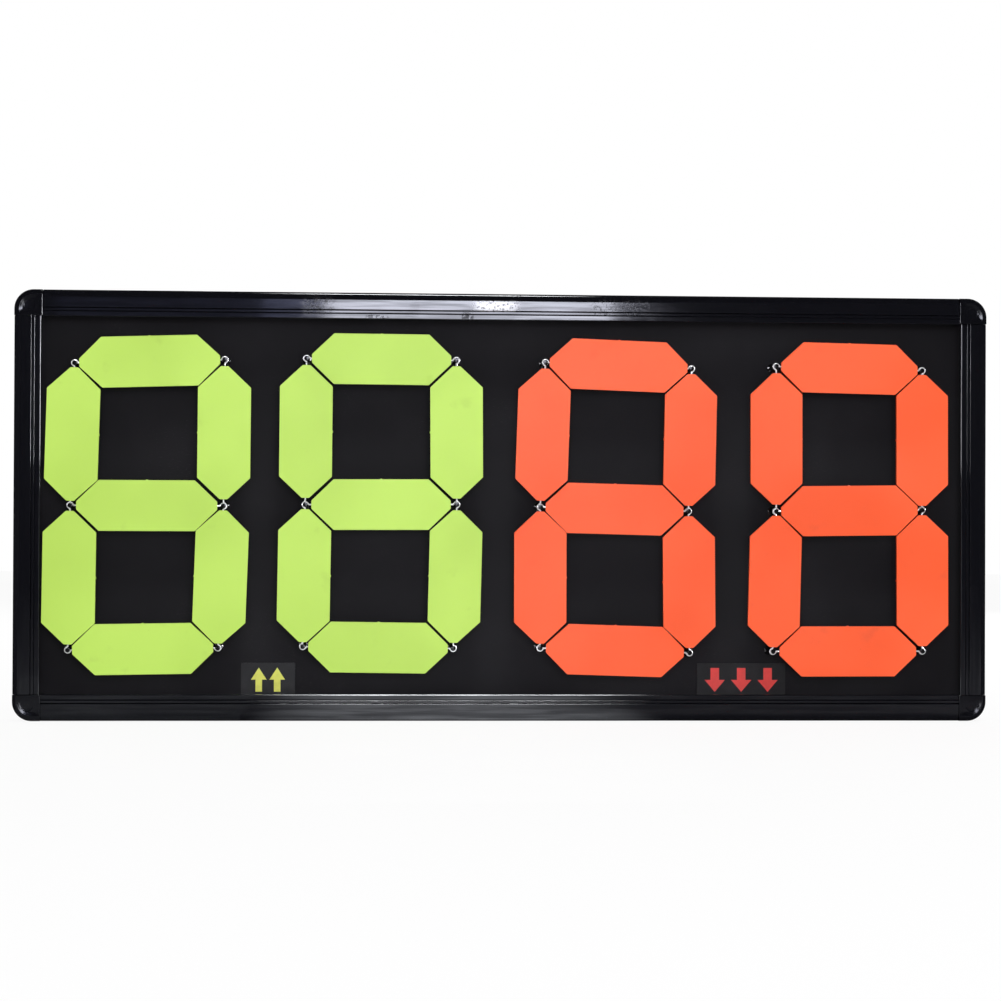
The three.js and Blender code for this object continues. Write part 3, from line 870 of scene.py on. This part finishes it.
def cap_tongues():
    """The two U-shaped tongues that plug into the rails beside the bottom left cap."""
    size, rail = board_settings().cap, board_settings().rail
    near_side = rail.wall + rail.seat_gap
    far_side = rail.flank_inset - rail.wall - rail.seat_gap
    front = cad_low.y + rail.edge_round_depth
    back = panel_faces()[0] - 2 * rail.seat_gap - rail.wall
    wall = size.tongue_wall
    outline = [
        (near_side, front),
        (far_side, front),
        (far_side, back),
        (far_side - wall, back),
        (far_side - wall, front + wall),
        (near_side + wall, front + wall),
        (near_side + wall, back),
        (near_side, back),
    ]
    left = cad_low.x
    level = [Vector((left + size.width, depth, inset)) for inset, depth in outline]
    upright = [Vector((left + inset, depth, size.height)) for inset, depth in outline]
    return [
        settle(slab("level_tongue", level, ACROSS * size.tongue_length)),
        settle(slab("upright_tongue", upright, UP * size.tongue_length)),
    ]


class BOARD_OT_caps(Operator):
    """Mould the four corner caps"""

    bl_idname = "board.caps"
    bl_label = "Corner caps"

    def execute(self, context):
        cap = join(cap_block(), cap_tongues())
        clothe(cap, moulded_black("cap_gloss", board_settings().colours.cap))
        middle = Matrix.Translation((0, 0, cad_high.z / 2))
        corners = {
            "bottom_left_cap": (1, 1),
            "bottom_right_cap": (-1, 1),
            "top_left_cap": (1, -1),
            "top_right_cap": (-1, -1),
        }
        for node, (across, up) in corners.items():
            mirror = middle @ Matrix.Diagonal((across, 1, up, 1)) @ middle.inverted()
            shell = copied(cap, f"{node}_shell", mirror)
            hand_over(even_shading(shell, sharp_from=35), "board", "cap_gloss", node)
        bpy.data.objects.remove(cap)
        return {"FINISHED"}


# Panel, pegs and screws


def peg_places(digit):
    """Where the pegs of a digit stand: each is where the axes of two of its flaps cross."""
    lines = {}
    for joint in frame["joints"]:
        if joint["child"].startswith(digit):
            start = Vector(joint["pos_m"])
            lines[joint["child"][len(digit) + 1 :]] = (start, start + Vector(joint["axis"]))
    places = {}
    for segment in LEVEL_SEGMENTS:
        for side in ("left", "right"):
            upright = f"{'lower' if segment == 'bottom' else 'upper'}_{side}"
            places[f"{segment}_{side}"] = intersect_line_line(*lines[segment], *lines[upright])[0]
    return places


def axis_level():
    """Level of the axes that the flaps turn on."""
    return Vector(frame["joints"][0]["pos_m"]).y


def stack_step():
    """Half the distance between wires that lie over each other, with a gap between them."""
    return (board_settings().wire.diameter + board_settings().rail.seat_gap) / 2


def panel_faces():
    """Levels of the panel's front and back."""
    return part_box("left_label")[1].y + board_settings().rail.seat_gap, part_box("panel")[1].y


class BOARD_OT_panel(Operator):
    """Cut the panel and set its pegs and screws"""

    bl_idname = "board.panel"
    bl_label = "Panel, pegs and screws"

    def execute(self, context):
        settings = board_settings()
        size = settings.peg
        front, back = panel_faces()
        low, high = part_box("panel")
        sheet = block("panel_sheet", (low.x, front, low.z), (high.x, back, high.z))
        bpy.ops.object.mode_set(mode="EDIT")
        bpy.ops.mesh.select_all(action="SELECT")
        bpy.ops.mesh.bevel(offset=settings.rail.seat_gap, segments=2, affect="EDGES")
        clothe(settle(sheet), satin_sheet("panel_satin", settings.colours.panel))
        hand_over(sheet, "board", "panel_satin", "panel")

        reach = front - axis_level()
        half_stack = stack_step() + settings.wire.diameter / 2 + settings.rail.seat_gap
        shoulder = reach - half_stack - stack_step()
        head = reach + half_stack
        top = head + size.head_height
        round_over = size.head_height / 2

        def rounding(radius, height, end, facets):
            """The rounded rim of a part of the peg, from its side up to an angle."""
            return arc((radius - round_over, height - round_over), (round_over, round_over), 0, end, facets)

        peg = turned(
            "peg",
            [
                (0, 0),
                (size.foot_radius, 0),
                *rounding(size.foot_radius, size.foot_height, 60, 4),
                (size.shank_radius, 2 * size.foot_height),
                (size.shank_radius, shoulder - round_over),
                (size.shank_radius - round_over / 2, shoulder),
                (size.neck_radius, shoulder),
                (size.neck_radius, head),
                (size.head_radius - round_over / 4, head),
                *rounding(size.head_radius, top, 90, 5),
                (0, top),
            ],
            size.turn_steps,
        )
        clothe(smooth(peg, sharp_from=35), moulded_black("peg_black", settings.colours.peg))
        screw = self.screw()
        number = 0
        for digit in DIGITS:
            for place in peg_places(digit).values():
                number += 1
                here = Matrix.Translation((place.x, front, place.z))
                behind = Matrix.Translation((place.x, back, place.z)) @ Matrix.Rotation(math.pi, 4, "Z")
                for piece, name, matrix, slot in (
                    (peg, f"peg_{number:02}", here, "panel_satin"),
                    (screw, f"peg_screw_{number:02}", behind, "steel_wire"),
                ):
                    hand_over(copied(piece, name, matrix), "board", slot)
        bpy.data.objects.remove(peg)
        bpy.data.objects.remove(screw)
        return {"FINISHED"}

    def screw(self):
        """A pan head screw with a cross recess, standing out towards -Y."""
        size = board_settings().peg
        radius, height = size.screw_radius, size.screw_height
        screw = turned(
            "peg_screw",
            [(0, 0), (radius, 0), *arc((0, height / 4), (radius, 3 * height / 4), 0, 88, 10), (0, height)],
            size.turn_steps,
        )
        for turn in (SCREW_TURN, SCREW_TURN + 90):
            lay_down_tools()
            bpy.ops.mesh.primitive_cube_add(
                size=1,
                location=(0, -height, 0),
                rotation=(0, math.radians(turn), 0),
                scale=(SCREW_ARM * radius, height, radius / 4),
            )
            cut(screw, bpy.context.object)
        steel = metal("screw_steel", board_settings().colours.screw, roughness=0.28)
        return clothe(smooth(screw, sharp_from=30), steel)


# Wires


def towards(start, end):
    """Direction from one peg to another, as an angle seen from the front."""
    return math.atan2(end.z - start.z, end.x - start.x)


def beside(peg, reach, direction, level):
    """A point at a distance and direction from a peg, on a level."""
    return Vector((peg.x + reach * math.cos(direction), level, peg.z + reach * math.sin(direction)))


def ring(peg, radius, start, end, level):
    """Points round a peg from one angle to another, at a level."""
    steps = max(1, round(abs(end - start) / board_settings().wire.bend_step))
    directions = [start + (end - start) * step / steps for step in range(steps + 1)]
    return [beside(peg, radius, direction, level) for direction in directions]


def leaving(peg, neighbour, reach):
    """The point beside a peg where the wire takes up the line to its neighbour."""
    return beside(peg, reach, towards(peg, neighbour), axis_level())


def wire_routes(digit):
    """Routes of the loop wire and the cross wire of a digit."""
    settings = board_settings()
    pegs = peg_places(digit)
    half = settings.wire.diameter / 2
    radius = settings.peg.neck_radius + settings.rail.seat_gap + half
    reach = radius + half
    tangent = math.acos(radius / reach)
    turn = settings.wire.eye_turn
    level, step = axis_level(), stack_step()

    order = [
        pegs[name]
        for name in ("top_right", "middle_right", "bottom_right", "bottom_left", "middle_left", "top_left")
    ]
    first, last = order[0], order[-1]
    leave = towards(first, order[1]) + tangent
    arrive = towards(first, last) - tangent
    loop = ring(first, radius, leave + turn, leave, level + step)
    for before, peg, after in zip(order, order[1:], order[2:] + order[:1]):
        loop += [leaving(before, peg, reach), leaving(peg, before, reach)]
        start = towards(peg, before) - tangent
        end = towards(peg, after) + tangent
        while start < end:
            start += 2 * math.pi
        loop += ring(peg, radius, start, end, level)
    loop += [leaving(last, first, reach), leaving(first, last, reach)]
    loop += ring(first, radius, arrive, arrive - turn, level - step)

    left, right = pegs["middle_left"], pegs["middle_right"]
    at_left = towards(left, right) + tangent
    at_right = towards(right, left) - tangent
    cross = [
        *ring(left, radius, at_left + turn, at_left, level + 2 * step),
        leaving(left, right, reach),
        leaving(right, left, reach),
        *ring(right, radius, at_right, at_right - turn, level + 2 * step),
    ]
    return {"loop_wire": loop, "cross_wire": cross}


class BOARD_OT_wires(Operator):
    """Bend the wires round the pegs"""

    bl_idname = "board.wires"
    bl_label = "Wires"

    def execute(self, context):
        settings = board_settings()
        steel = metal("wire_steel", settings.colours.wire, roughness=0.2, bareness=0.4)
        for digit in DIGITS:
            for kind, route in wire_routes(digit).items():
                settle(draw(f"{digit}_{kind}_drawn", route))
                bpy.ops.object.convert(target="CURVE")
                wire = bpy.context.object
                wire.data.bevel_depth = settings.wire.diameter / 2
                wire.data.bevel_resolution = 4
                wire.data.use_fill_caps = True
                bpy.ops.object.convert(target="MESH")
                wire = clothe(smooth(bpy.context.object, sharp_from=50), steel)
                hand_over(wire, "board", "steel_wire", f"{digit}_{kind}")
        return {"FINISHED"}


# Flaps


def flap_blank(name, run, straight, width, tip):
    """A flap along X whose coloured face looks to -Y, rounded all over, with a tunnel from end to end."""
    size = board_settings().flap
    half = size.thickness / 2
    quarter = [(run / 2, tip / 2), (straight / 2, width / 2)]
    outline = [
        *quarter,
        *[(-along, across) for along, across in reversed(quarter)],
        *[(-along, -across) for along, across in quarter],
        *[(along, -across) for along, across in reversed(quarter)],
    ]
    flap = draw(name, [Vector((along, -half, across)) for along, across in outline])
    bpy.ops.mesh.edge_face_add()
    bpy.ops.mesh.bevel(offset=size.corner_radius / 2, segments=6, affect="VERTICES")
    bpy.ops.mesh.select_all(action="SELECT")
    for step in (size.colour_depth, size.thickness - size.colour_depth):
        bpy.ops.mesh.extrude_region_move(TRANSFORM_OT_translate={"value": BACKWARD * step})
    face_outwards()

    def rim(edge):
        """Whether an edge runs round one of the two faces."""
        first, second = (corner.co.y for corner in edge.verts)
        return abs(first - second) < SAME_LEVEL and abs(abs(first) - half) < SAME_LEVEL

    pick("EDGE", rim)
    bpy.ops.mesh.bevel(offset=size.face_edge_round, segments=4, affect="EDGES")
    settle(flap)
    lay_down_tools()
    bpy.ops.mesh.primitive_cylinder_add(
        vertices=24, radius=size.tunnel_radius, depth=2 * run, rotation=(0, math.pi / 2, 0)
    )
    return cut(flap, bpy.context.object)


def gate_mark(width):
    """The small round mark left on a long edge where the flap left its mould."""
    size = board_settings().flap
    lay_down_tools()
    bpy.ops.mesh.primitive_uv_sphere_add(
        segments=20,
        ring_count=12,
        radius=1,
        location=(0, 0, width / 2),
        scale=(size.gate_width / 2, size.gate_width / 3, size.gate_height),
    )
    return settle(bpy.context.object)


class BOARD_OT_flaps(Operator):
    """Mould the flaps and hang each on its axis"""

    bl_idname = "board.flaps"
    bl_label = "Flaps"

    def execute(self, context):
        settings = board_settings()
        size, colours = settings.flap, settings.colours
        blanks = {
            "level": (size.level_length, size.level_straight, size.level_width, size.level_tip),
            "upright": (size.upright_length, size.upright_straight, size.upright_width, size.upright_tip),
        }
        moulded = {}
        for name, sizes in blanks.items():
            flap = join(flap_blank(f"{name}_flap", *sizes), [gate_mark(sizes[2])])
            moulded[name] = even_shading(flap, sharp_from=32)
        black = flap_back("flap_back_black", colours.flap_back)
        faces = {
            "green": flap_face("flap_face_green", colours.green),
            "orange": flap_face("flap_face_orange", colours.orange),
        }
        black_from = axis_level() + size.colour_depth - size.thickness / 2
        for joint in frame["joints"]:
            body = joint["child"]
            shape = "level" if body.endswith(LEVEL_SEGMENTS) else "upright"
            tone = body.split("_")[0]
            axis = Vector(joint["axis"])
            if body.endswith("left"):
                axis.negate()
            lean = Matrix.Rotation(-math.atan2(axis.z, axis.x), 4, "Y")
            flap = copied(moulded[shape], f"{body}_moulded_flap", Matrix.Translation(joint["pos_m"]) @ lean)
            clothe(flap, faces[tone], black)
            for face in flap.data.polygons:
                face.material_index = int(face.center.y > black_from)
            hand_over(flap, body, f"{tone}_flap", f"{body}_flap")
        for flap in moulded.values():
            bpy.data.objects.remove(flap)
        return {"FINISHED"}


# Labels


def arrow_outline(middle, foot, width, height, level, upwards):
    """An arrow that points up or down."""
    size = board_settings().label
    half, stem = width / 2, width * size.stem_share / 2
    neck = height * (1 - size.head_share)
    shape = [(-stem, 0), (stem, 0), (stem, neck), (half, neck), (0, height), (-half, neck), (-stem, neck)]
    points = []
    for across, up in shape:
        rise = up if upwards else height - up
        points.append(Vector((middle + across, level, foot + rise)))
    return points


class BOARD_OT_labels(Operator):
    """Lay the film labels and print their arrows"""

    bl_idname = "board.labels"
    bl_label = "Film labels"

    def execute(self, context):
        settings = board_settings()
        size, colours = settings.label, settings.colours
        film_shade = clear_film("label_film", colours.film)
        labels = {
            "left_label": (2, size.green_arrow_width, size.green_arrow_pitch, True, colours.yellow_print),
            "right_label": (3, size.orange_arrow_width, size.orange_arrow_pitch, False, colours.red_print),
        }
        for node, (count, width, pitch, upwards, shade) in labels.items():
            low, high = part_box(node)
            film = block(f"{node}_film", low, high)
            bpy.ops.object.mode_set(mode="EDIT")
            thickness = high.y - low.y
            pick("EDGE", lambda edge: abs(edge.verts[0].co.y - edge.verts[1].co.y) > thickness / 2)
            bpy.ops.mesh.bevel(offset=size.corner_radius, segments=8, affect="EDGES")
            clothe(smooth(film, sharp_from=30), film_shade)
            hand_over(film, "board", "label_film", node)

            printed = ink(f"{node}_ink", shade)
            middle = (low.x + high.x) / 2
            foot = low.z + size.print_foot
            for index in range(count):
                place = middle + (index - (count - 1) / 2) * pitch
                outline = arrow_outline(place, foot, width, size.print_height, low.y, upwards)
                arrow = slab(f"{node}_arrow_{index + 1}", outline, BACKWARD * -size.print_lift)
                hand_over(clothe(settle(arrow), printed), "board", "label_film")
        return {"FINISHED"}


# Stage


class BOARD_OT_stage(Operator):
    """Set up the floor, the lights and the camera"""

    bl_idname = "board.stage"
    bl_label = "Floor, lights and camera"

    def execute(self, context):
        studio = board_settings().studio
        self.camera(context, studio)
        self.world(context, studio)
        self.floor()
        self.cards()
        self.lamps(studio)
        context.scene.view_settings.view_transform = "Standard"
        return {"FINISHED"}

    def camera(self, context, studio):
        middle = Vector((0, 0, cad_high.z / 2))
        flat = math.cos(studio.pitch)
        ahead = Vector((math.sin(studio.yaw) * flat, math.cos(studio.yaw) * flat, math.sin(studio.pitch)))
        right = ahead.cross(UP).normalized()
        over = right.cross(ahead)
        lean, level = math.sin(studio.roll), math.cos(studio.roll)
        side = right * level + over * lean
        top = over * level - right * lean
        bpy.ops.object.camera_add()
        camera = bpy.context.object
        camera.matrix_world = Matrix.Translation(middle - ahead * studio.distance) @ Matrix(
            (side, top, -ahead)
        ).transposed().to_4x4()
        camera.data.lens = studio.focal_pixels * camera.data.sensor_width / IMAGE_SIDE
        camera.data.shift_x = -studio.shift_right / IMAGE_SIDE
        camera.data.shift_y = studio.shift_down / IMAGE_SIDE
        context.scene.camera = camera

    def world(self, context, studio):
        context.scene.world = bpy.data.worlds.new("studio")
        light = Nodes(context.scene.world)
        background = light.tree.nodes["Background"]
        light.feed(background.inputs["Color"], (1, 1, 1))
        strength = studio.ambient + light.seen_or_mirrored() * (1 - studio.ambient)
        light.feed(background.inputs["Strength"], strength)

    def floor(self):
        lay_down_tools()
        bpy.ops.mesh.primitive_plane_add(size=FLOOR_SIDE, location=(0, 0, 0))
        floor = bpy.context.object
        floor.name = "floor"
        finish = Finish("floor_white")
        finish.set(Base_Color=(0.94, 0.94, 0.94), Roughness=0.9)
        glow = finish.node("ShaderNodeEmission", {}, {"Color": (1, 1, 1), "Strength": 1.0})
        amount = finish.seen_or_mirrored() * FLOOR_GLOW
        blend = finish.node(
            "ShaderNodeMixShader", {}, {0: amount, 1: finish.shader.outputs[0], 2: glow.outputs[0]}
        )
        finish.feed(finish.tree.nodes["Material Output"].inputs["Surface"], blend.outputs[0])
        clothe(floor, finish.material)

    def card(self, name, place, size, turn, material, shades=False):
        """A card that shows in the board's gloss and nowhere else, as is set round black plastic."""
        lay_down_tools()
        rotation = [math.radians(degrees) for degrees in turn]
        bpy.ops.mesh.primitive_plane_add(size=1, location=place, rotation=rotation)
        card = bpy.context.object
        card.scale = (*size, 1)
        card.name = name
        card.visible_camera = False
        card.visible_diffuse = False
        card.visible_shadow = shades
        clothe(card, material)

    def cards(self):
        dark = Finish("card_dark").set(Base_Color=(0.012, 0.012, 0.014), Roughness=1.0)
        for name, place, size, turn in DARK_CARDS:
            self.card(name, place, size, turn, dark, shades=name.endswith("flag"))
        for name, place, size, turn, strength, shade, reach, cloud in GLOWS:
            glow = Finish(f"{name}_light")
            fade = near(glow, "X", 0, reach)
            if cloud:
                fade = fade * (1 - cloud + glow.patches(7, 4, 0.38, 0.62) * cloud)
            light = glow.mixed(fade, (0, 0, 0), shade)
            glow.set(Base_Color=(0, 0, 0), Roughness=1.0, Emission_Strength=strength, Emission_Color=light)
            self.card(name, place, size, turn, glow.material)

    def lamps(self, studio):
        for name, place, size, setting in LAMPS:
            lay_down_tools()
            bpy.ops.object.light_add(type="AREA", location=place)
            lamp = bpy.context.object
            lamp.name = name
            lamp.data.shape = "RECTANGLE"
            lamp.data.size, lamp.data.size_y = size
            lamp.data.energy = getattr(studio, setting)
            lamp.data.color = LAMP_COLOUR
            lamp.visible_glossy = False
            aim = Vector((0, 0, cad_high.z / 2)) - Vector(place)
            lamp.rotation_euler = aim.to_track_quat("-Z", "Y").to_euler()


class BOARD_PT_panel(Panel):
    """The board's pieces in the sidebar"""

    bl_idname = "BOARD_PT_panel"
    bl_label = "Substitution board"
    bl_space_type = "VIEW_3D"
    bl_region_type = "UI"
    bl_category = "Board"

    def draw(self, context):
        for step in STEPS:
            self.layout.operator(step.bl_idname)


STEPS = (
    BOARD_OT_rails,
    BOARD_OT_caps,
    BOARD_OT_panel,
    BOARD_OT_wires,
    BOARD_OT_flaps,
    BOARD_OT_labels,
    BOARD_OT_stage,
)
GROUPS = (
    RailSizes,
    CapSizes,
    PegSizes,
    WireSizes,
    FlapSizes,
    LabelSizes,
    BoardColours,
    StudioSettings,
    BoardSettings,
)


def register():
    for group in GROUPS:
        bpy.utils.register_class(group)
    bpy.types.Scene.board = PointerProperty(type=BoardSettings)
    for step in STEPS:
        bpy.utils.register_class(step)
    bpy.utils.register_class(BOARD_PT_panel)


def unregister():
    bpy.utils.unregister_class(BOARD_PT_panel)
    for step in reversed(STEPS):
        bpy.utils.unregister_class(step)
    del bpy.types.Scene.board
    for group in reversed(GROUPS):
        bpy.utils.unregister_class(group)


def main():
    register()
    bpy.ops.board.rails()
    bpy.ops.board.caps()
    bpy.ops.board.panel()
    bpy.ops.board.wires()
    bpy.ops.board.flaps()
    bpy.ops.board.labels()
    bpy.ops.board.stage()


if __name__ == "__main__":
    main()
